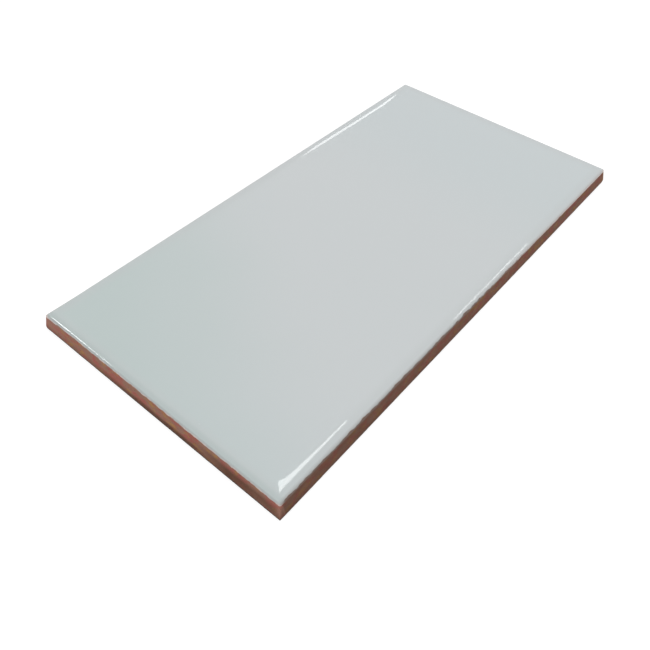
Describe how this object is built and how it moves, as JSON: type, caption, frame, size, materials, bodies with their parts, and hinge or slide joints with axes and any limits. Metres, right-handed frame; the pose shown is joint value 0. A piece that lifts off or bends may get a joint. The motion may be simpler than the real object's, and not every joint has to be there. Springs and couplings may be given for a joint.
{
  "type": "subway wall tile",
  "caption": "Flat glazed ceramic wall tile, twice as long as wide, with a soft rounded glaze edge, red clay sides and a waffle-pressed back.",
  "frame": {"origin": "middle of the back, on the floor that the tile lies on", "axes": "+X along the length, +Y across the width, +Z out of the glazed face"},
  "size_m": [0.2, 0.1, 0.0065],
  "materials": {
    "red_clay": "matte",
    "grey_green_glaze": "gloss"
  },
  "bodies": {
    "root": {"clay_body": "red_clay", "glaze": "grey_green_glaze"}
  },
  "joints": []
}
